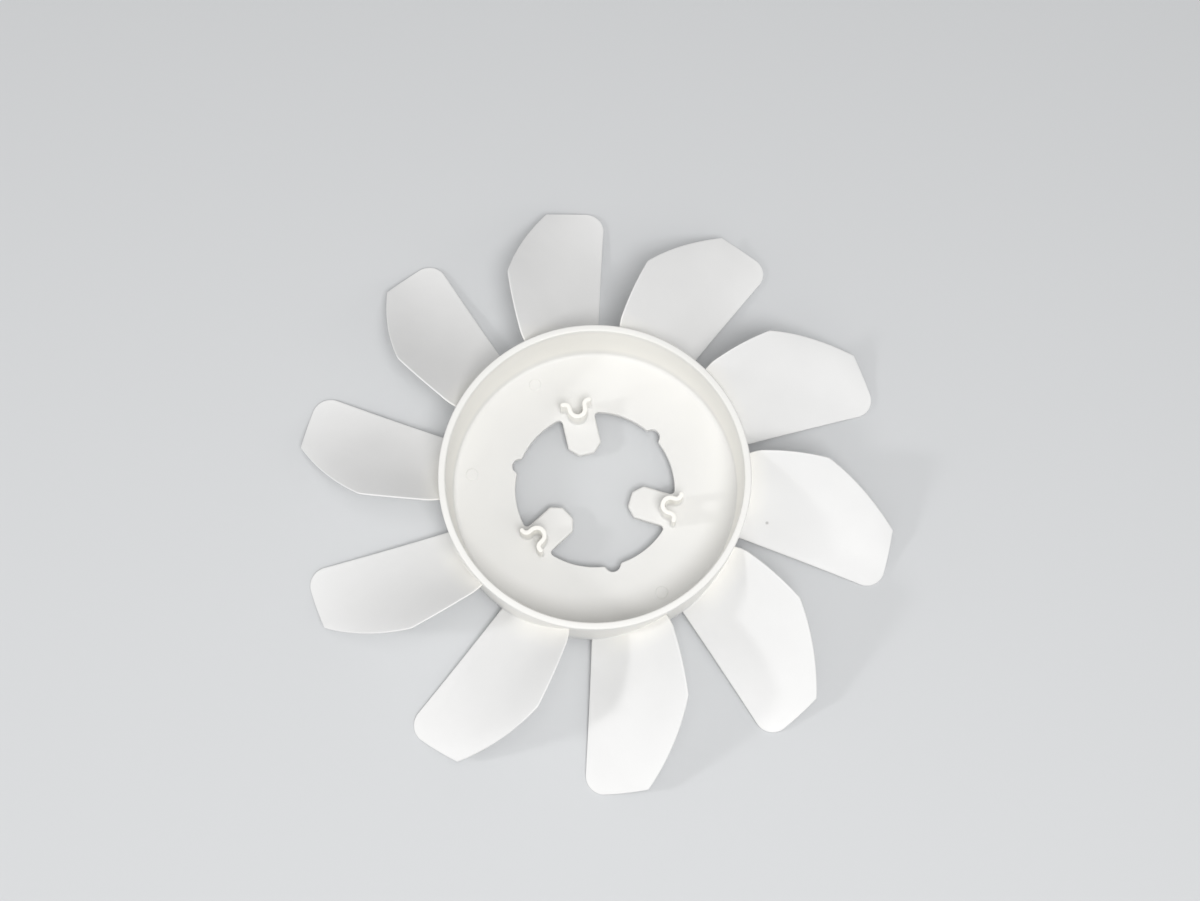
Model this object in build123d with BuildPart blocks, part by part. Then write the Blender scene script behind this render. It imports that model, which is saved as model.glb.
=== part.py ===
"""Axial fan impeller, moulded in one piece: a shallow cup hub with ten twisted blades.

Units are mm and +Z is up. The origin lies on the fan axis, level with the lowest
points of the blade tips, which the fan stands on with its cup open upwards.
Blade 1 and tab 1 are centred on +Y.
"""
import os
from math import atan, atan2, cos, hypot, radians, sin, sqrt, tan

from build123d import *

os.makedirs("parts", exist_ok=True)

# ---- driving dimensions -------------------------------------------------------
hub_r = 63.0  # outside of the cup
tip_r = 125.0  # circle the blade tips sweep
blade_count = 10
trio = 3  # tabs, rib seats and notches all come in threes

# cup
cup_h = 29.6  # bottom face to rim
hub_lift = 4.06  # bottom face above the lowest point of the tips
rim_w = 2.8  # flat top of the rim
wall_draft = 2.7  # degrees, inside of the wall
floor_t = 3.0
rim_break = 0.5  # small bevel on both edges of the rim
foot_web = 1.0  # bevelled inside corner between wall and floor

# openings and tabs of the floor
hole_r = 33.3
notch_r = 3.2
notch_out = 32.9  # centre of each notch from the axis
notch_flare = 1.3
tab_w = 14.0
tab_end = 15.3  # free end of each tab from the axis
tab_corner = 3.8  # cut off both corners of the free end
tab_root = 1.6  # radius where a tab leaves the hole edge
tab_bevel = 0.9  # on a tab's upper edges, which start this far in from the hole:
bevel_start = 4.0

# upright serpentine rib on the root of each tab
rib_t = 1.9
rib_h = 10.4
rib_nose = 29.2  # centre line of the nose from the axis
rib_bend = 3.2  # centre-line radius of the nose
rib_leg = 1.0
lip_bend = 2.0  # centre-line radius of the two lips
lip_end = 0.5

# blade, in its own frame: x runs out along the trailing edge, y leads
root_span = 27.8  # degrees between trailing and leading edge at the hub
blade_t = 1.6
trail_rake = 1.8  # degrees the trailing edge leans back
shoulder = (87.3, 37.9)  # leading edge meets the swept cut
lead_lean = 12.8  # degrees between leading edge and x
lead_run = 25.0  # straight part of the leading edge
root_turn = 20.0  # radius of the leading edge as it turns into the hub
root_swing = 30  # degrees it turns through, to end inside the wall
cut_end = 23.4  # the swept cut ends on the tip circle, this far ahead
cut_bow = 2.1  # how far the swept cut bows out
tip_corner = 7.5
shoulder_round = 3.0

# height of a blade's middle surface, by angle ahead of the trailing edge (radians)
# and by span, which is 0 at the hub wall
trail_foot = 0.9  # trailing edge above the bottom of the cup
trail_drop = 0.07  # what it loses for each mm outwards
pitch_hub = 26.7
pitch_gain = 47.8
pitch_fade = 65.0
camber_hub = 44.1
camber_gain = 63.0

# sections the blade is lofted through, wider than the outline that trims them
section_x = (52, 65, 80, 95, 110, 127)
section_start = -4.0
section_step = 6.5
section_points = 8
trim_low, trim_high = -5.0, 55.0

floor_z = hub_lift + floor_t
rim_z = hub_lift + cup_h
joint_r = 45.0  # cup and floor plate are joined here
root_r = hub_r - 1.7  # blades start inside the wall


# ---- cup: rim, drafted wall and the outer part of the floor --------------------
wall_top = hub_r - rim_w
wall_foot = wall_top - (rim_z - floor_z) * tan(radians(wall_draft))

with BuildPart() as cup:
    with BuildSketch(Plane.XZ):
        with BuildLine():
            Polyline(
                (joint_r, hub_lift),
                (hub_r, hub_lift),
                (hub_r, rim_z),
                (wall_top, rim_z),
                (wall_foot, floor_z),
                (joint_r, floor_z),
                close=True,
            )
        make_face()
        chamfer(vertices().filter_by(lambda v: v.Y > rim_z - 0.1), rim_break)
        chamfer(vertices().filter_by(lambda v: abs(v.X - wall_foot) < 0.01), foot_web)
    revolve(axis=Axis.Z)
cup.part.label = "cup"

# ---- floor plate: hole, three notches, three tabs that reach inwards -----------
tab_angles = [90 + 120 * i for i in range(trio)]
notch_angles = [a + 180 for a in tab_angles]
half_tab = tab_w / 2


def beside(vertex, angle):
    """Distance of a vertex from the line through the axis at this angle."""
    return abs(vertex.Y * cos(radians(angle)) - vertex.X * sin(radians(angle)))


def on_hole(vertex):
    return abs(hypot(vertex.X, vertex.Y) - hole_r) < 0.01


with BuildPart() as floor_plate:
    with BuildSketch(Plane.XY.offset(hub_lift)):
        Circle(joint_r)
        Circle(hole_r, mode=Mode.SUBTRACT)
        with PolarLocations(notch_out, trio, start_angle=notch_angles[0]):
            Circle(notch_r, mode=Mode.SUBTRACT)
        mouths = [
            v for v in vertices()
            if on_hole(v) and min(beside(v, a) for a in notch_angles) < notch_r
        ]
        fillet(mouths, notch_flare)
        with PolarLocations(0, trio, start_angle=tab_angles[0]):
            Polygon(
                (hole_r + 1, half_tab),
                (tab_end + tab_corner, half_tab),
                (tab_end, half_tab - tab_corner),
                (tab_end, tab_corner - half_tab),
                (tab_end + tab_corner, -half_tab),
                (hole_r + 1, -half_tab),
                align=None,
            )
        roots = [
            v for v in vertices()
            if on_hole(v) and min(abs(beside(v, a) - half_tab) for a in tab_angles) < 0.01
        ]
        fillet(roots, tab_root)
    extrude(amount=floor_t)
    tab_rims = [
        e for e in faces().sort_by(Axis.Z)[-1].edges()
        if hypot((e @ 0.5).X, (e @ 0.5).Y) < hole_r - bevel_start
    ]
    chamfer(tab_rims, tab_bevel)
floor_plate.part.label = "floor_plate"

# ---- rib: an open loop standing on the tab, its two lips out on the floor ------
with BuildPart() as rib:
    with BuildSketch(Plane.XY.offset(floor_z)):
        with BuildLine() as loop:
            CenterArc((rib_nose + rib_bend, 0), rib_bend, 90, 180)
            for side in (1, -1):
                leg = Line(
                    (rib_nose + rib_bend, side * rib_bend),
                    (rib_nose + rib_bend + rib_leg, side * rib_bend),
                )
                lip = JernArc(leg @ 1, (1, 0), lip_bend, side * 90)
                Line(lip @ 1, lip @ 1 + Vector(0, side * lip_end))
        trace(loop.line, rib_t)
        lip_x, lip_y = rib_nose + rib_bend + rib_leg + lip_bend, rib_bend + lip_bend + lip_end
        with Locations((lip_x, lip_y), (lip_x, -lip_y)):
            Circle(rib_t / 2)
    extrude(amount=rib_h)
rib.part.label = "rib"


# ---- blade: cambered strips lofted outwards, then cut to the plan outline ------
def blade_height(x, y):
    """Height of a blade's middle surface above the base, in the blade's frame.

    The pitch is steepest a little off the hub and washes out towards the tip.
    The squared term is the camber, hollow side up. The trailing edge starts at
    the foot of the cup and drops slightly on its way out.
    """
    out = hypot(x, y)
    ahead = atan2(y, x)
    span = out / hub_r - 1
    trailing = hub_lift + trail_foot - trail_drop * (out - hub_r)
    pitch = pitch_hub + pitch_gain * span - pitch_fade * span**2
    camber = camber_hub + camber_gain * span
    return trailing + pitch * ahead + camber * ahead**2


nudge = 0.01  # step that the surface's lean is measured over
with BuildPart() as blade:
    for x in section_x:
        with BuildSketch(Plane((x, 0, 0), x_dir=(0, 1, 0), z_dir=(1, 0, 0))):
            with BuildLine():
                upper, lower = [], []
                for i in range(section_points):
                    y = section_start + section_step * i
                    z = blade_height(x, y)
                    lean = atan((blade_height(x, y + nudge) - z) / nudge)
                    dy, dz = sin(lean) * blade_t / 2, cos(lean) * blade_t / 2
                    upper.append((y - dy, z + dz))
                    lower.append((y + dy, z - dz))
                top, bottom = Spline(*upper), Spline(*lower)
                Line(top @ 0, bottom @ 0)
                Line(top @ 1, bottom @ 1)
            make_face()
    loft()
    with BuildSketch(Plane.XY.offset(trim_low)):
        with BuildLine():
            back = (hub_r - tip_r) * tan(radians(trail_rake))
            corner = (sqrt(tip_r**2 - back**2), back)
            point = (sqrt(tip_r**2 - cut_end**2), cut_end)
            across = Vector(point[0] - shoulder[0], point[1] - shoulder[1])
            bulge = Vector(-across.Y, across.X).normalized() * cut_bow
            inward = Vector(-cos(radians(lead_lean)), -sin(radians(lead_lean)))
            trail = Line((root_r, 0), corner)
            RadiusArc(corner, point, -tip_r)
            ThreePointArc(point, Vector(*shoulder) + across / 2 + bulge, shoulder)
            lead = Line(shoulder, Vector(*shoulder) + inward * lead_run)
            turn = JernArc(lead @ 1, inward, root_turn, root_swing)
            RadiusArc(turn @ 1, trail @ 0, root_r)
        make_face()
        fillet(vertices().sort_by_distance(corner)[0], tip_corner)
        fillet(vertices().sort_by_distance(shoulder)[0], shoulder_round)
    extrude(amount=trim_high - trim_low, mode=Mode.INTERSECT)
blade.part.label = "blade"

# ---- the whole moulding --------------------------------------------------------
with BuildPart() as impeller:
    add(cup.part)
    add(floor_plate.part)
    with PolarLocations(0, trio, start_angle=tab_angles[0]):
        add(rib.part)
    with PolarLocations(0, blade_count, start_angle=90 - root_span / 2):
        add(blade.part)
impeller.part.label = "impeller"
export_step(impeller.part, "parts/impeller.step")
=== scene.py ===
"""Axial fan impeller in white moulded plastic, on a pale floor under soft studio light.

The fan stands on its blade tips with the cup open upwards, and its axis is Z.
Shapes are sized in millimetres and turned into Blender's metres as they are made.
The plastic's pattern, the table, the lamps and the camera are placed in metres.
"""
from math import acos, atan2, cos, hypot, pi, radians, sin, sqrt, tan

import bmesh
import bpy
import numpy as np
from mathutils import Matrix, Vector


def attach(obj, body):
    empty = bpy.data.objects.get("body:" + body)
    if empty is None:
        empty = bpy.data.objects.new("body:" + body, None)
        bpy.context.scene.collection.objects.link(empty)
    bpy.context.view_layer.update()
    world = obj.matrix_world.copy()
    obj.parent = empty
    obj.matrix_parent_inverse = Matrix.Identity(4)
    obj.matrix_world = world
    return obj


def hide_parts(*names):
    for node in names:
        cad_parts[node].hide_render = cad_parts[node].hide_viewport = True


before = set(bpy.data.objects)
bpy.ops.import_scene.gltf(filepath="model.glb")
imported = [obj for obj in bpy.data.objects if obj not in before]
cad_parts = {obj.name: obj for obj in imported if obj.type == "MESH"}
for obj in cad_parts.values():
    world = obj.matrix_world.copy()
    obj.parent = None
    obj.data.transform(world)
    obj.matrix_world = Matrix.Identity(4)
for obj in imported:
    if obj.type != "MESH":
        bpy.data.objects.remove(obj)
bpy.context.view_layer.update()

# ---- white plastic --------------------------------------------------------------
# The whole fan is one shot of white, semi-gloss plastic. Its skin has the fine grain of the
# mould and faint flow waves. Its colour holds painted light: the cup's floor is painted shade,
# a little darker and creamier than the blades, and its wall a brighter cream of painted bounce
# light that falls back just under the rim.
plastic = bpy.data.materials.new("white_plastic")
plastic.use_nodes = True
nodes = plastic.node_tree.nodes
shader = nodes["Principled BSDF"]
shader.inputs["IOR"].default_value = 1.49
where = nodes.new("ShaderNodeTexCoord").outputs["Object"]


def wire(tree, node, **sockets):
    """Plugs outputs, or puts values, into a node's inputs: by name, or as i0, i1, i2."""
    for key, value in sockets.items():
        numbered = key[0] == "i" and key[1:].isdigit()
        socket = node.inputs[int(key[1:])] if numbered else node.inputs[key.replace("_", " ")]
        if isinstance(value, bpy.types.NodeSocket):
            tree.links.new(value, socket)
        else:
            socket.default_value = value
    return node


def paint(kind, **sockets):
    """Adds a node to the plastic, with its inputs set."""
    return wire(plastic.node_tree, nodes.new("ShaderNode" + kind), **sockets)


def spread(value, low, high, from_low=0.0, from_high=1.0):
    """Maps a number from the second range to the first, and holds it at the ends."""
    return paint("MapRange", Value=value, From_Min=from_low, From_Max=from_high,
                 To_Min=low, To_Max=high).outputs[0]


# painted light: the cup's floor tone is painted shade, and the wall's brighter cream is painted
# bounce light
cup_shade_tone = (0.775, 0.770, 0.752, 1)
wall_glow_tone = (0.895, 0.882, 0.838, 1)
blade_tone = (0.815, 0.813, 0.807, 1)
speck_tone = (0.30, 0.29, 0.28, 1)
wall_glow_start = (0.008, 0.013)  # heights between which the painted wall glow comes in
wall_glow_end = (0.030, 0.0333)  # and, just below the rim, goes down to this share:
rim_glow_share = 0.45
blade_start = (0.060, 0.072)  # distances from the axis over which the blades' tone comes in
speck_at = (0.0659, -0.03095, 0.0098)
speck_edge = (0.0003, 0.0009)  # distances from its middle over which the speck fades
speck_share = 0.6  # how much of its own tone shows
noise_range = (0.3, 0.7)  # where most of a noise texture's values lie
tint_range = (0.975, 1.02)
roughness_range = (0.42, 0.56)

flat = paint("VectorMath", i0=where, i1=(1, 1, 0))
flat.operation = "MULTIPLY"
out = paint("VectorMath", i0=flat.outputs[0])
out.operation = "LENGTH"
high = paint("SeparateXYZ", Vector=where)
# painted bounce light: a brighter cream band up the hub wall, from near the floor to just under
# the rim
up_wall = spread(high.outputs["Z"], 0, 1, *wall_glow_start)
below_rim = spread(high.outputs["Z"], 1, rim_glow_share, *wall_glow_end)
wall_glow = paint("Math", i0=up_wall, i1=below_rim)
wall_glow.operation = "MULTIPLY"
hub_shade_and_glow = paint("Mix", Factor=wall_glow.outputs[0])
whole_tone = paint("Mix", Factor=spread(out.outputs["Value"], 0, 1, *blade_start))
to_speck = paint("VectorMath", i0=where, i1=speck_at)
to_speck.operation = "DISTANCE"
specked = paint("Mix", Factor=spread(to_speck.outputs["Value"], speck_share, 0, *speck_edge))

# a Mix node's two colours are its inputs 6 and 7, and the mixed one is its output 2
for mix, first, second in ((hub_shade_and_glow, cup_shade_tone, wall_glow_tone),
                           (whole_tone, hub_shade_and_glow.outputs[2], blade_tone),
                           (specked, whole_tone.outputs[2], speck_tone)):
    mix.data_type = "RGBA"
    wire(plastic.node_tree, mix, i6=first, i7=second)
cloud = paint("TexNoise", Vector=where, Scale=28.0, Detail=3.0)
tint = paint("HueSaturation", Color=specked.outputs[2])
wire(plastic.node_tree, tint, Value=spread(cloud.outputs["Fac"], *tint_range, *noise_range))
wire(plastic.node_tree, shader, Base_Color=tint.outputs[0])

smear = paint("TexNoise", Vector=where, Scale=60.0, Detail=4.0)
wire(plastic.node_tree, shader,
     Roughness=spread(smear.outputs["Fac"], *roughness_range, *noise_range))
wave = paint("TexNoise", Vector=where, Scale=110.0, Detail=1.0)
grain = paint("TexNoise", Vector=where, Scale=2600.0, Detail=2.0)
waviness = paint("Bump", Strength=0.12, Distance=0.0006, Height=wave.outputs["Fac"])
skin = paint("Bump", Strength=0.10, Distance=0.00006, Height=grain.outputs["Fac"],
             Normal=waviness.outputs[0])
wire(plastic.node_tree, shader, Normal=skin.outputs[0])

# ---- hub ------------------------------------------------------------------------
# The middle of the moulding is a shallow cup with a drafted wall and a softly rounded
# rim. Its flat floor has a round opening with three notches, and three tabs reach
# inwards from the opening's edge.
MM = 0.001
hub_r = 63.0
hub_foot = 4.06
rim_z = 33.66
floor_z = 7.06
rim_w = 2.8
wall_draft = radians(2.7)
rim_round = 0.7
foot_round = 1.5
base_round = 0.5
hub_steps = 360
ring_gap = 2.0  # an extra ring this far from each rounded edge keeps the flats flat
mid_z = 20.0  # another, about half way up the outside
wall_rings = (0.12, 0.5, 0.92)  # and three up the inside, as shares of its height

hole_r = 33.3
tab_count = 3
tab_half = 7.0
tab_end = 15.3
tab_corner = 3.8
tab_root = 1.6
tab_nose = 1.3
notch_r = 3.2
notch_out = 32.9
notch_flare = 1.3
hole_break = 0.4
tab_break = 0.9
tab_cuts = (28, 25.5, 23, 21)  # points along a tab's side, as distances from the axis
break_change = (29.5, 32)  # distances over which the tabs' break turns into the hole's
edge_ring = 0.15  # a loop this far outside the broken edge
flat_r = 47.0  # the cup's rings stop here, and faces fill the flat up to the opening
hole_steps = 16
corner_steps = 4


def arc(centre, radius, start, end, steps):
    """Points on an arc, angles in radians."""
    turns = [start + (end - start) * i / steps for i in range(steps + 1)]
    return [(centre[0] + radius * cos(a), centre[1] + radius * sin(a)) for a in turns]


def quarter(steps):
    """The angles of a quarter turn, in equal steps."""
    return np.linspace(0, pi / 2, steps + 1)


def rounded(before, corner, after, radius, steps=6):
    """An arc that takes the corner off two straight lines."""
    corner = Vector(corner)
    arrive = (corner - Vector(before)).normalized()
    leave = (Vector(after) - corner).normalized()
    turn = arrive.angle_signed(leave)
    reach = radius * tan(abs(turn) / 2)
    side = -1 if turn > 0 else 1
    centre = corner - arrive * reach + side * radius * Vector((-arrive.y, arrive.x))
    begin = atan2(*((corner - arrive * reach) - centre).yx)
    return arc(centre, radius, begin, begin - turn, steps)


def stack(mesh, loops):
    """Joins closed loops of equally many points with quads, and returns their vertices."""
    rows = [[mesh.verts.new(Vector(p) * MM) for p in loop] for loop in loops]
    for low, high in zip(rows, rows[1:]):
        for i in range(len(low)):
            j = (i + 1) % len(low)
            mesh.faces.new((low[i], low[j], high[j], high[i]))
    return rows


def drawn_in(outline, depth):
    """A closed outline moved to its left by depth, a number or one for each point."""
    depth = np.broadcast_to(depth, len(outline))
    moved = []
    for i, point in enumerate(outline):
        here = Vector(point)
        arrive = (here - Vector(outline[i - 1])).normalized()
        leave = (Vector(outline[(i + 1) % len(outline)]) - here).normalized()
        across = (arrive + leave).normalized()
        stretch = 1 / max(across.dot(leave), 0.5)
        moved.append(here + Vector((-across.y, across.x)) * depth[i] * stretch)
    return moved


def finished(mesh, name):
    """Turns a bmesh into a smooth object, its doubles merged and its faces outward."""
    bmesh.ops.remove_doubles(mesh, verts=mesh.verts, dist=1e-7)
    bmesh.ops.recalc_face_normals(mesh, faces=mesh.faces)
    for face in mesh.faces:
        face.smooth = True
    data = bpy.data.meshes.new(name)
    mesh.to_mesh(data)
    mesh.free()
    piece = bpy.data.objects.new(name, data)
    bpy.context.scene.collection.objects.link(piece)
    return piece


# the cup's section, from the flat floor out, up the wall, over the rim and back under
wall_top = hub_r - rim_w
wall_foot = wall_top - (rim_z - floor_z) * tan(wall_draft)
section = [(flat_r, floor_z), (wall_foot - 2 * ring_gap, floor_z)]
section += rounded((0, floor_z), (wall_foot, floor_z), (wall_top, rim_z), foot_round)
section += [(wall_foot + (wall_top - wall_foot) * s, floor_z + (rim_z - floor_z) * s)
            for s in wall_rings]
section += rounded((wall_foot, floor_z), (wall_top, rim_z), (hub_r, rim_z), rim_round)
section += rounded((wall_top, rim_z), (hub_r, rim_z), (hub_r, 0), rim_round)
section += [(hub_r, z) for z in (rim_z - ring_gap, mid_z, hub_foot + ring_gap)]
section += rounded((hub_r, rim_z), (hub_r, hub_foot), (0, hub_foot), base_round)
section += [(hub_r - ring_gap, hub_foot), (flat_r, hub_foot)]

hub_mesh = bmesh.new()
turns = [2 * pi * i / hub_steps for i in range(hub_steps)]
rings = stack(hub_mesh, [[(r * cos(a), r * sin(a), z) for a in turns] for r, z in section])

# the opening's outline, clockwise so that the floor lies to its left: each third of it
# is a tab, a stretch of the hole, a notch and the hole again, up to the next tab
root_y = tab_half + tab_root
root_x = sqrt((hole_r - tab_root)**2 - root_y**2)
root_turn = atan2(root_y, root_x)
flare_out = hole_r + notch_flare
flare_reach = notch_r + notch_flare
flare_turn = acos((flare_out**2 + notch_out**2 - flare_reach**2) / (2 * flare_out * notch_out))
flare = (flare_out * cos(flare_turn), flare_out * sin(flare_turn))
flare_side = atan2(flare[1], flare[0] - notch_out)
tab_side = [(root_x, tab_half), (tab_end + tab_corner, tab_half),
            (tab_end, tab_half - tab_corner), (tab_end, 0)]

half_tab = arc((root_x, root_y), tab_root, root_turn, -pi / 2, 2 * corner_steps)
half_tab += [(x, tab_half) for x in tab_cuts]
half_tab += rounded(*tab_side[:3], tab_nose, corner_steps)
half_tab += rounded(*tab_side[1:], tab_nose, corner_steps)
half_tab += [(tab_end, 0)]
half_notch = arc(flare, notch_flare, pi + flare_turn, pi + flare_side, steps=6)
half_notch += arc((notch_out, 0), notch_r, flare_side, 0, steps=10)[1:]


def mirrored(points):
    """The points, followed by their mirror image in reverse."""
    return points + [(x, -y) for x, y in points[-2::-1]]


def turned(points, angle):
    """The points, turned about the axis."""
    return [(x * cos(angle) - y * sin(angle), x * sin(angle) + y * cos(angle))
            for x, y in points]


sixth = pi / 3  # from a tab to the next notch
outline = []
for k in range(tab_count):
    tab_at = pi / 2 - 2 * sixth * k
    notch_at = tab_at - sixth
    next_tab = tab_at - 2 * sixth
    outline += turned(mirrored(half_tab), tab_at)
    outline += arc((0, 0), hole_r, tab_at - root_turn, notch_at + flare_turn, hole_steps)[1:-1]
    outline += turned(mirrored(half_notch), notch_at)
    outline += arc((0, 0), hole_r, notch_at - flare_turn, next_tab + root_turn, hole_steps)[1:-1]

# its top edge is rounded, most along the tabs, and its bottom edge evenly
nearness = np.array([hypot(*p) for p in outline])
top_break = np.interp(nearness, break_change, (tab_break, hole_break))
edge_loops = []
for turn in quarter(5):
    depth = top_break * (1 - sin(turn))
    edge_loops.append([(*p, floor_z - top_break[i] * (1 - cos(turn)))
                       for i, p in enumerate(drawn_in(outline, depth))])
edge_loops.insert(0, [(*p, floor_z) for p in drawn_in(outline, top_break + edge_ring)])
for turn in quarter(3):
    depth = hole_break * (1 - cos(turn))
    edge_loops.append([(*p, hub_foot + hole_break * (1 - sin(turn)))
                       for p in drawn_in(outline, depth)])
edge_loops.append([(*p, hub_foot) for p in drawn_in(outline, hole_break + edge_ring)])
edge_rows = stack(hub_mesh, edge_loops)


def between(mesh, outer, inner):
    """Fills the flat ring between two loops of vertices."""
    edges = []
    for row in (outer, inner):
        edges += [mesh.edges.get((v, row[i - 1])) for i, v in enumerate(row)]
    bmesh.ops.triangle_fill(mesh, edges=edges, use_beauty=True)


between(hub_mesh, rings[0], edge_rows[0])
between(hub_mesh, rings[-1], edge_rows[-1])
hub = finished(hub_mesh, "hub")
hub.data.materials.append(plastic)
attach(hub, "root")
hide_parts("impeller")

# ---- rib seats ------------------------------------------------------------------
# An upright serpentine rib stands on the root of each tab. The three give a little, as
# springs do, when the motor is pushed in between them. They are moulded with the floor,
# with a small web at their feet.
rib_t = 1.9
rib_h = 10.4
rib_nose = 29.2
rib_bend = 3.2
rib_leg = 1.0
lip_bend = 2.0
lip_end = 0.5
rib_web = 0.5
rib_round = 0.25
rib_draft = 0.05
rib_sink = 0.5  # how far the foot reaches down into the floor
top_strip = 0.3  # half the width of the strip that closes the top
bar_step = 0.3
end_steps = 12


def rib_path():
    """Centre line of one rib, lip end to lip end, seen from above."""
    leg_x = rib_nose + rib_bend + rib_leg
    tip = (leg_x + lip_bend, rib_bend + lip_bend + lip_end)
    half = [tip] + arc((leg_x, rib_bend + lip_bend), lip_bend, 0, -pi / 2, steps=12)
    half += arc((rib_nose + rib_bend, 0), rib_bend, pi / 2, pi, steps=16)
    return mirrored(half)


def group_tree(name, inputs):
    """A Geometry Nodes tree and its named inputs, given as names and kinds of socket."""
    tree = bpy.data.node_groups.new(name, "GeometryNodeTree")
    tree.interface.new_socket("Geometry", in_out="INPUT", socket_type="NodeSocketGeometry")
    for label, kind in inputs.items():
        tree.interface.new_socket(label, in_out="INPUT", socket_type="NodeSocket" + kind)
    tree.interface.new_socket("Geometry", in_out="OUTPUT", socket_type="NodeSocketGeometry")
    return tree, tree.nodes.new("NodeGroupInput").outputs


def calc(tree, operation, first, second=0.0, third=0.0):
    """One math node."""
    node = wire(tree, tree.nodes.new("ShaderNodeMath"), i0=first, i1=second, i2=third)
    node.operation = operation
    return node.outputs[0]


def ring_of(tree, geometry, count, first_angle, material):
    """Repeats a geometry round the axis, makes the copies real and sets their material."""
    points = wire(tree, tree.nodes.new("GeometryNodeMeshLine"), Count=count, Offset=(0, 0, 0))
    index = tree.nodes.new("GeometryNodeInputIndex").outputs[0]
    step = calc(tree, "DIVIDE", 2 * pi, count)
    angle = calc(tree, "MULTIPLY_ADD", index, step, first_angle)
    turn = wire(tree, tree.nodes.new("ShaderNodeCombineXYZ"), Z=angle)
    copies = wire(tree, tree.nodes.new("GeometryNodeInstanceOnPoints"),
                  Points=points.outputs[0], Instance=geometry, Rotation=turn.outputs[0])
    real = wire(tree, tree.nodes.new("GeometryNodeRealizeInstances"), Geometry=copies.outputs[0])
    dressed = wire(tree, tree.nodes.new("GeometryNodeSetMaterial"),
                   Geometry=real.outputs[0], Material=material)
    wire(tree, tree.nodes.new("NodeGroupOutput"), Geometry=dressed.outputs[0])


def grown(name, start, tree, values):
    """Runs a tree on a starting mesh and returns the result as a plain mesh object."""
    modifier = start.modifiers.new(name, "NODES")
    modifier.node_group = tree
    sockets = {s.name: s.identifier for s in tree.interface.items_tree if s.in_out == "INPUT"}
    for label, value in values.items():
        modifier[sockets[label]] = value
    bpy.context.view_layer.update()
    seen = start.evaluated_get(bpy.context.evaluated_depsgraph_get())
    data = bpy.data.meshes.new_from_object(seen)
    start.modifiers.remove(modifier)
    bpy.data.objects.remove(start)
    data.name = name
    piece = bpy.data.objects.new(name, data)
    bpy.context.scene.collection.objects.link(piece)
    return piece


# a straight bar as long as the path, with round ends, a rounded top and a web at its foot
path_points = rib_path()
path_length = sum(hypot(b[0] - a[0], b[1] - a[1]) for a, b in zip(path_points, path_points[1:]))
bar_cuts = round(path_length / bar_step)


def bar_outline(half_width):
    """The bar seen from above, from the lower side of its far end and round."""
    end = arc((path_length, 0), half_width, -pi / 2, pi / 2, end_steps)
    start = arc((0, 0), half_width, pi / 2, 3 * pi / 2, end_steps)
    run = [path_length * i / bar_cuts for i in range(1, bar_cuts)]
    return end + [(x, half_width) for x in reversed(run)] + start + [(x, -half_width) for x in run]


# half widths and heights, from the buried foot up
bar_profile = [(rib_t / 2 + rib_web, -rib_sink)]
bar_profile += [(rib_t / 2 + rib_web * (1 - sin(a)), rib_web * (1 - cos(a)))
                for a in quarter(4)]
top_half = rib_t / 2 - rib_draft
bar_profile += [(top_half - rib_round * (1 - cos(a)), rib_h - rib_round * (1 - sin(a)))
                for a in quarter(4)]
bar_profile += [(top_strip, rib_h)]
bar_mesh = bmesh.new()
bar_rows = stack(bar_mesh, [[(*p, z) for p in bar_outline(half)] for half, z in bar_profile])

# foot and top are closed by short faces across the bar, from the middle of one end to
# the middle of the other: the first and the last have three corners
for row in (bar_rows[0], bar_rows[-1]):
    count = len(row)
    first = end_steps // 2
    for i in range(count // 2):
        quad = [row[(first + i) % count], row[(first + i + 1) % count],
                row[(first - i - 1) % count], row[(first - i) % count]]
        corners = list(dict.fromkeys(quad))
        if len(corners) > 2:
            bar_mesh.faces.new(corners)
bar = finished(bar_mesh, "rib_bar")

path_curve = bpy.data.curves.new("rib_path", "CURVE")
path_curve.dimensions = "3D"
spline = path_curve.splines.new("POLY")
spline.points.add(len(path_points) - 1)
for point, (x, y) in zip(spline.points, path_points):
    point.co = (x * MM, y * MM, floor_z * MM, 1)
path_object = bpy.data.objects.new("rib_path", path_curve)
bpy.context.scene.collection.objects.link(path_object)

# the tree bends the bar along the path and sets one bar on each tab
tree, given = group_tree("rib_seats", {
    "Path": "Object", "Path length": "Float", "Seats": "Int", "First angle": "Float",
    "Material": "Material"})
route = wire(tree, tree.nodes.new("GeometryNodeObjectInfo"), Object=given["Path"])
place = wire(tree, tree.nodes.new("ShaderNodeSeparateXYZ"),
             Vector=tree.nodes.new("GeometryNodeInputPosition").outputs[0])
sample = tree.nodes.new("GeometryNodeSampleCurve")
sample.mode = "LENGTH"
wire(tree, sample, Curves=route.outputs["Geometry"], Length=place.outputs["X"])
along = wire(tree, tree.nodes.new("ShaderNodeVectorMath"), i0=sample.outputs["Tangent"])
along.operation = "NORMALIZE"
sideways = wire(tree, tree.nodes.new("ShaderNodeVectorMath"), i0=(0, 0, 1), i1=along.outputs[0])
sideways.operation = "CROSS_PRODUCT"
from_start = calc(tree, "MAXIMUM", place.outputs["X"], 0.0)
on_path = calc(tree, "MINIMUM", from_start, given["Path length"])
past_end = calc(tree, "SUBTRACT", place.outputs["X"], on_path)
spot = sample.outputs["Position"]
for direction, amount in ((along.outputs[0], past_end),
                          (sideways.outputs[0], place.outputs["Y"]),
                          ((0.0, 0.0, 1.0), place.outputs["Z"])):
    move = wire(tree, tree.nodes.new("ShaderNodeVectorMath"), i0=direction, i3=amount)
    move.operation = "SCALE"
    total = wire(tree, tree.nodes.new("ShaderNodeVectorMath"), i0=spot, i1=move.outputs[0])
    spot = total.outputs[0]
bent = wire(tree, tree.nodes.new("GeometryNodeSetPosition"), Geometry=given["Geometry"],
            Position=spot)
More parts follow.
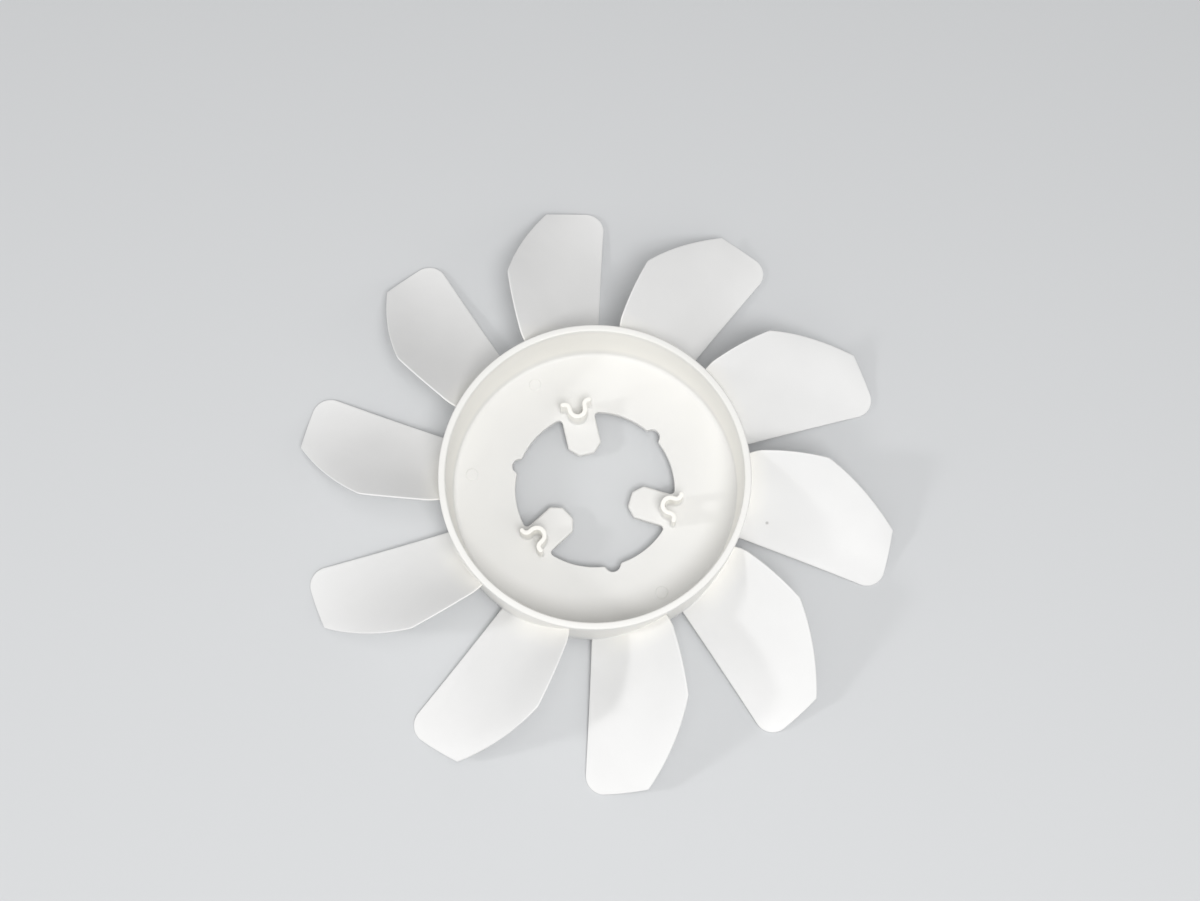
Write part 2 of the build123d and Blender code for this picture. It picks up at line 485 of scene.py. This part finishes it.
ring_of(tree, bent.outputs[0], given["Seats"], given["First angle"], given["Material"])
rib_seats = grown("rib_seats", bar, tree, {
    "Path": path_object, "Path length": path_length * MM, "Seats": tab_count,
    "First angle": pi / 2, "Material": plastic})
bpy.data.objects.remove(path_object)
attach(rib_seats, "root")
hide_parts("impeller")

# ---- ejector-pin marks ----------------------------------------------------------
# Three low round pads, left on the cup's floor by the pins that push the moulding
# out of its mould. They are part of the floor, with a softly sloped edge.
pin_r = 2.6
pin_rise = 0.22
pin_out = 51.8
pin_angles = (106.5, 160.5, 289)
pin_sink = 0.3  # how far a pad reaches down into the floor
pin_slope = 0.3  # width of the sloped edge, whose middle is this much below the top:
slope_drop = 0.04
pin_flat = 0.5  # the level face starts this far in
pin_steps = 48

pin_top = floor_z + pin_rise
pin_profile = [(pin_r, floor_z - pin_sink), (pin_r, floor_z),
               (pin_r - pin_slope / 2, pin_top - slope_drop),
               (pin_r - pin_slope, pin_top), (pin_r - pin_flat, pin_top)]
pin_mesh = bmesh.new()
for angle in pin_angles:
    middle = (pin_out * cos(radians(angle)), pin_out * sin(radians(angle)))
    pin_rows = stack(pin_mesh, [[(*p, z) for p in arc(middle, r, 0, 2 * pi, pin_steps)[:-1]]
                                for r, z in pin_profile])
    pin_mesh.faces.new(pin_rows[0])
    pin_mesh.faces.new(pin_rows[-1])
pin_marks = finished(pin_mesh, "pin_marks")
pin_marks.data.materials.append(plastic)
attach(pin_marks, "root")
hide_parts("impeller")

# ---- blades ---------------------------------------------------------------------
# Ten thin blades run out from the hub wall and are moulded with it. They are twisted and
# hollow on top, thinner towards the leading edge, with a straight trailing edge and a
# tip cut back to a point. Small webs blend their roots into the wall.
tip_r = 125.0
blade_t = 1.6
blade_count = 10
root_span = radians(27.8)
buried_r = 61.3  # the blades start inside the hub's wall
wall_gap = 0.4  # and have one more row of points this far inside its face
trail_rake = radians(1.8)
shoulder = Vector((87.3, 37.9))
lead_lean = radians(12.8)
lead_run = 25.0
lead_turn_r = 20.0
lead_turn = radians(30)
shoulder_round = 3.0
cut_end = 23.4
cut_bow = 2.1
tip_corner = 7.5
point_round = 0.8
cut_begin = 0.1  # the first point along the swept cut, as a share of its length
cut_stop = 0.95  # the last one, before the point is rounded
cut_ahead = 0.97  # the cut's direction there is taken towards this share
blade_edge = 0.3
edge_t = 0.8  # thickness at the leading edge, full again this far from it:
edge_taper = 8.0
root_web = 0.8
web_fade = 2.0  # the web fades out this far from either edge
chord_cuts = 30
round_steps = 16

# height of a blade's middle surface, by angle ahead of the trailing edge (radians)
# and by span, which is 0 at the hub wall
trail_foot = 0.9  # trailing edge above the bottom of the cup
trail_drop = 0.07  # what it loses for each mm outwards
pitch_hub = 26.7
pitch_gain = 47.8
pitch_fade = 65.0
camber_hub = 44.1
camber_gain = 63.0


def tip_arc(start, direction, radius, side):
    """Rounds the corner where a straight edge runs out to the tip circle."""
    normal = Vector((-direction.y, direction.x)) * side
    near = start + normal * radius
    reach = -near.dot(direction) + sqrt(near.dot(direction)**2 - near.dot(near)
                                        + (tip_r - radius)**2)
    centre = near + direction * reach
    begin = atan2(-normal.y, -normal.x)
    end = atan2(centre.y, centre.x)
    span = (end - begin + pi) % (2 * pi) - pi
    return arc(centre, radius, begin, begin + span, round_steps)


# trailing edge, from inside the hub wall out to the tip circle
back = Vector((cos(trail_rake), -sin(trail_rake)))
trailing = [(buried_r, 0)] + tip_arc(Vector((buried_r, 0)), back, tip_corner, 1)

# leading edge, from the hub wall over the shoulder and along the swept cut to the point
inward = Vector((-cos(lead_lean), -sin(lead_lean)))
lead_start = shoulder + inward * lead_run
turn_centre = lead_start + Vector((-inward.y, inward.x)) * lead_turn_r
turn_begin = atan2(*(lead_start - turn_centre).yx)
leading = arc(turn_centre, lead_turn_r, turn_begin + lead_turn, turn_begin, steps=12)
tip_point = Vector((sqrt(tip_r**2 - cut_end**2), cut_end))
cut = tip_point - shoulder
bow = Vector((-cut.y, cut.x)).normalized() * cut_bow * 4


def on_cut(share):
    """A point of the swept cut, from the shoulder at 0 to the point at 1."""
    return shoulder + cut * share + bow * share * (1 - share)


leading += rounded(lead_start, shoulder, on_cut(cut_begin), shoulder_round, steps=8)
leading += [tuple(on_cut(s)) for s in np.linspace(cut_begin, cut_stop, 14)]
cut_way = (on_cut(cut_ahead) - on_cut(cut_stop)).normalized()
point_arc = tip_arc(on_cut(cut_stop), cut_way, point_round, -1)
leading += point_arc[round_steps // 2:]  # its outer half is enough

# both edges drawn in, to where the flat faces end and their rounded rim starts
whole = [tuple(p) for p in trailing + leading[::-1]]
whole = drawn_in(whole, blade_edge)
trailing_in, leading_in = whole[:len(trailing)], whole[len(trailing):][::-1]
end_r = tip_r - blade_edge


def edge_angle(edge, radius):
    """Polar angle at which an edge crosses a circle about the fan's axis."""
    points = np.array([tuple(p) for p in edge])
    return np.interp(radius, np.hypot(*points.T), np.arctan2(*points.T[::-1]))


# radii of the rows of points, closer together over the web and the tip's corner
web_radii = [hub_r + root_web * (1 - cos(a)) for a in quarter(6)]
run_radii = list(np.linspace(hub_r + root_web, end_r - tip_corner, 42))[1:]
tip_radii = [end_r - tip_corner * (1 - sin(a)) for a in quarter(15)][1:]
radii = [buried_r, hub_r - wall_gap] + web_radii + run_radii + tip_radii

# half the thickness that the webs add on each radius, as an inside quarter circle
swell = [root_web - sqrt(max(0, root_web**2 - (root_web - max(0, r - hub_r))**2))
         if r < hub_r + root_web else 0 for r in radii]

# the blade is first laid flat: a row of points on each radius, between the two edges,
# with half the blade's thickness at each point
rows = []
halves = []
for radius, extra in zip(radii, swell):
    begin = edge_angle(trailing_in, radius)
    end = edge_angle(leading_in, radius)
    shares = (1 - np.cos(np.linspace(0, pi, chord_cuts + 1))) / 2
    shares = (shares + np.linspace(0, 1, chord_cuts + 1)) / 2
    rows.append([(radius * cos(a), radius * sin(a)) for a in begin + (end - begin) * shares])
    to_edge = np.minimum(np.minimum(shares, 1 - shares) * (end - begin) * radius, end_r - radius)
    fullness = np.clip(to_edge / edge_taper, 0, 1)
    thinned = (blade_t - edge_t) * shares * (1 - fullness)**2
    halves.append((blade_t - thinned) / 2 + extra * np.clip(to_edge / web_fade, 0, 1))
rim = ([(i, 0) for i in range(len(rows))] + [(len(rows) - 1, j) for j in range(1, chord_cuts)]
       + [(i, chord_cuts) for i in reversed(range(len(rows)))]
       + [(0, j) for j in reversed(range(1, chord_cuts))])
rim_points = [rows[i][j] for i, j in rim]
rim_half = np.array([halves[i][j] for i, j in rim])

blade_mesh = bmesh.new()
edge_layers = []
for turn in quarter(4):
    outset = drawn_in(rim_points, -blade_edge * sin(turn))
    lift = rim_half - blade_edge * (1 - cos(turn))
    edge_layers.append([(*p, lift[i]) for i, p in enumerate(outset)])
edge_layers += [[(x, y, -z) for x, y, z in layer] for layer in reversed(edge_layers)]
rim_rows = stack(blade_mesh, edge_layers)
for face_side, rim_row in ((1, rim_rows[0]), (-1, rim_rows[-1])):
    grid = {}
    for at, vertex in zip(rim, rim_row):
        grid[at] = vertex
    for i in range(1, len(rows) - 1):
        for j in range(1, chord_cuts):
            x, y = rows[i][j]
            height = face_side * halves[i][j]
            grid[i, j] = blade_mesh.verts.new(Vector((x, y, height)) * MM)
    for i in range(len(rows) - 1):
        for j in range(chord_cuts):
            blade_mesh.faces.new((grid[i, j], grid[i + 1, j], grid[i + 1, j + 1], grid[i, j + 1]))
blade = finished(blade_mesh, "blade")

# the tree bends the flat blade onto its twisted surface and repeats it round the hub;
# pitch and camber follow the same rule of angle and radius as the solid's blades
tree, given = group_tree("blade_ring", {
    "Blades": "Int", "First angle": "Float", "Hub radius": "Float", "Foot": "Float",
    "Drop": "Float", "Pitch": "Float", "Pitch gain": "Float", "Pitch fade": "Float",
    "Camber": "Float", "Camber gain": "Float", "Material": "Material"})
place = wire(tree, tree.nodes.new("ShaderNodeSeparateXYZ"),
             Vector=tree.nodes.new("GeometryNodeInputPosition").outputs[0])
x, y, lift = place.outputs


def reckon(operation, *values):
    """One math node of the blades' tree."""
    return calc(tree, operation, *values)


def surface_height(y):
    """Height of the blade's middle surface over a point x, y."""
    square = reckon("ADD", reckon("MULTIPLY", x, x), reckon("MULTIPLY", y, y))
    radius = reckon("SQRT", square)
    ahead = reckon("ARCTAN2", y, x)
    span = reckon("SUBTRACT", reckon("DIVIDE", radius, given["Hub radius"]), 1.0)
    fade = reckon("MULTIPLY", reckon("MULTIPLY", span, span), given["Pitch fade"])
    steepest = reckon("MULTIPLY_ADD", span, given["Pitch gain"], given["Pitch"])
    pitch = reckon("SUBTRACT", steepest, fade)
    camber = reckon("MULTIPLY_ADD", span, given["Camber gain"], given["Camber"])
    past_hub = reckon("SUBTRACT", radius, given["Hub radius"])
    drop = reckon("MULTIPLY", past_hub, given["Drop"])
    rise = reckon("MULTIPLY", ahead, reckon("MULTIPLY_ADD", ahead, camber, pitch))
    return reckon("ADD", reckon("SUBTRACT", given["Foot"], drop), rise)


# each point stands off the middle surface, square to its slope across the blade, by the
# height that it has on the flat blade
nudge = 0.02 * MM  # step that the surface's slope is measured over
height = surface_height(y)
climb = reckon("SUBTRACT", surface_height(reckon("ADD", y, nudge)), height)
lean = reckon("ARCTANGENT", reckon("DIVIDE", climb, nudge))
lifted = wire(tree, tree.nodes.new("ShaderNodeCombineXYZ"), X=x,
              Y=reckon("SUBTRACT", y, reckon("MULTIPLY", reckon("SINE", lean), lift)),
              Z=reckon("ADD", height, reckon("MULTIPLY", reckon("COSINE", lean), lift)))
twisted = wire(tree, tree.nodes.new("GeometryNodeSetPosition"), Geometry=given["Geometry"],
               Position=lifted.outputs[0])
ring_of(tree, twisted.outputs[0], given["Blades"], given["First angle"], given["Material"])
blades = grown("blades", blade, tree, {
    "Blades": blade_count, "First angle": pi / 2 - root_span / 2, "Hub radius": hub_r * MM,
    "Foot": (hub_foot + trail_foot) * MM, "Drop": trail_drop, "Pitch": pitch_hub * MM,
    "Pitch gain": pitch_gain * MM, "Pitch fade": pitch_fade * MM, "Camber": camber_hub * MM,
    "Camber gain": camber_gain * MM, "Material": plastic})
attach(blades, "root")
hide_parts("impeller")

# ---- floor ----------------------------------------------------------------------
# A plain, pale, matt table top under the fan's blade tips. It lies a hair lower, so that
# the two faces don't meet.
table_tone = (0.62, 0.63, 0.64, 1)
table_roughness = 0.8
table_half = 2.5
table_gap = 0.0001
table = bpy.data.materials.new("pale_table")
table.use_nodes = True
table_shader = table.node_tree.nodes["Principled BSDF"]
table_shader.inputs["Base Color"].default_value = table_tone
table_shader.inputs["Roughness"].default_value = table_roughness
table_mesh = bmesh.new()
bmesh.ops.create_grid(table_mesh, x_segments=2, y_segments=2, size=table_half)
floor = finished(table_mesh, "floor")
floor.location.z = -table_gap
floor.data.materials.append(table)

# ---- light ----------------------------------------------------------------------
# A soft main lamp high on the near side, weak ones above and around it, a small one
# on the left that throws the hub's shadow on the blades, and an even sky.
lamp_reach = 1.3
sky_tone = (1, 1, 1, 1)
sky_strength = 0.37


def lamp(name, azimuth, elevation, size, watts):
    """A round lamp that looks at the fan from a direction given in degrees."""
    light = bpy.data.lights.new(name, "AREA")
    light.shape = "DISK"
    light.size = size
    light.energy = watts
    holder = bpy.data.objects.new(name, light)
    level = lamp_reach * cos(radians(elevation))
    holder.location = (level * cos(radians(azimuth)), level * sin(radians(azimuth)),
                       lamp_reach * sin(radians(elevation)))
    holder.rotation_euler = (-holder.location).to_track_quat("-Z", "Y").to_euler()
    bpy.context.scene.collection.objects.link(holder)


lamp("main_lamp", azimuth=278, elevation=68, size=0.55, watts=8.3)
lamp("top_lamp", azimuth=0, elevation=88, size=0.5, watts=1.6)
lamp("near_lamp", azimuth=250, elevation=45, size=1.2, watts=1.3)
lamp("right_lamp", azimuth=315, elevation=35, size=0.6, watts=1.0)
lamp("left_lamp", azimuth=176, elevation=33, size=0.16, watts=2.6)
lamp("low_lamp", azimuth=180, elevation=22, size=0.5, watts=0.9)
sky = bpy.data.worlds.new("sky")
sky.use_nodes = True
sky.node_tree.nodes["Background"].inputs["Color"].default_value = sky_tone
sky.node_tree.nodes["Background"].inputs["Strength"].default_value = sky_strength
bpy.context.scene.world = sky

# ---- camera ---------------------------------------------------------------------
# It looks down into the cup from above the near blades and a little to their left.
# Sensor and lens are in millimetres, and the turns in degrees.
sensor_width = 36
lens = 47.591
camera_place = (-0.03321, -0.14770, 0.65222)
camera_turns = (14.571, -0.110, -13.0)
camera_data = bpy.data.cameras.new("camera")
camera_data.sensor_width = sensor_width
camera_data.lens = lens
camera = bpy.data.objects.new("camera", camera_data)
camera.location = camera_place
camera.rotation_euler = [radians(turn) for turn in camera_turns]
bpy.context.scene.collection.objects.link(camera)
bpy.context.scene.camera = camera

bpy.context.scene.view_settings.view_transform = "Standard"
